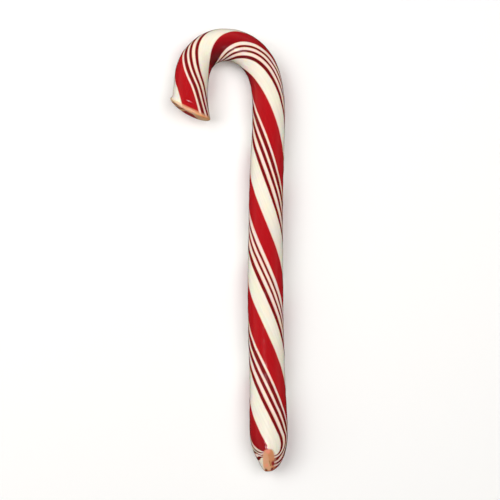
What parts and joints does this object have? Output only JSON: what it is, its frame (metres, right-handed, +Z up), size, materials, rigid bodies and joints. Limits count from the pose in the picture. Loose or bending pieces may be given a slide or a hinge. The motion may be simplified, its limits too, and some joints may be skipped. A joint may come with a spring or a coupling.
{
  "type": "candy cane",
  "caption": "Hooked rod of pulled peppermint sugar with spiral red stripes on cream, pinched at the foot and cut slantwise at the hook; lies flat.",
  "frame": {"origin": "centre of the footprint, on the surface the cane lies on", "axes": "+Y along the straight shaft from the pinched foot towards the hook; +Z up, out of the shown side; the hook turns towards -X"},
  "size_m": [0.0478, 0.1804, 0.0151],
  "materials": {
    "candy": "hard pulled sugar, cream with wide and thin red stripes wound round it, satin gloss, slightly translucent, with tan sugar core bared at the pinched foot"
  },
  "bodies": {
    "root": {"candy_cane": "candy"}
  },
  "joints": []
}
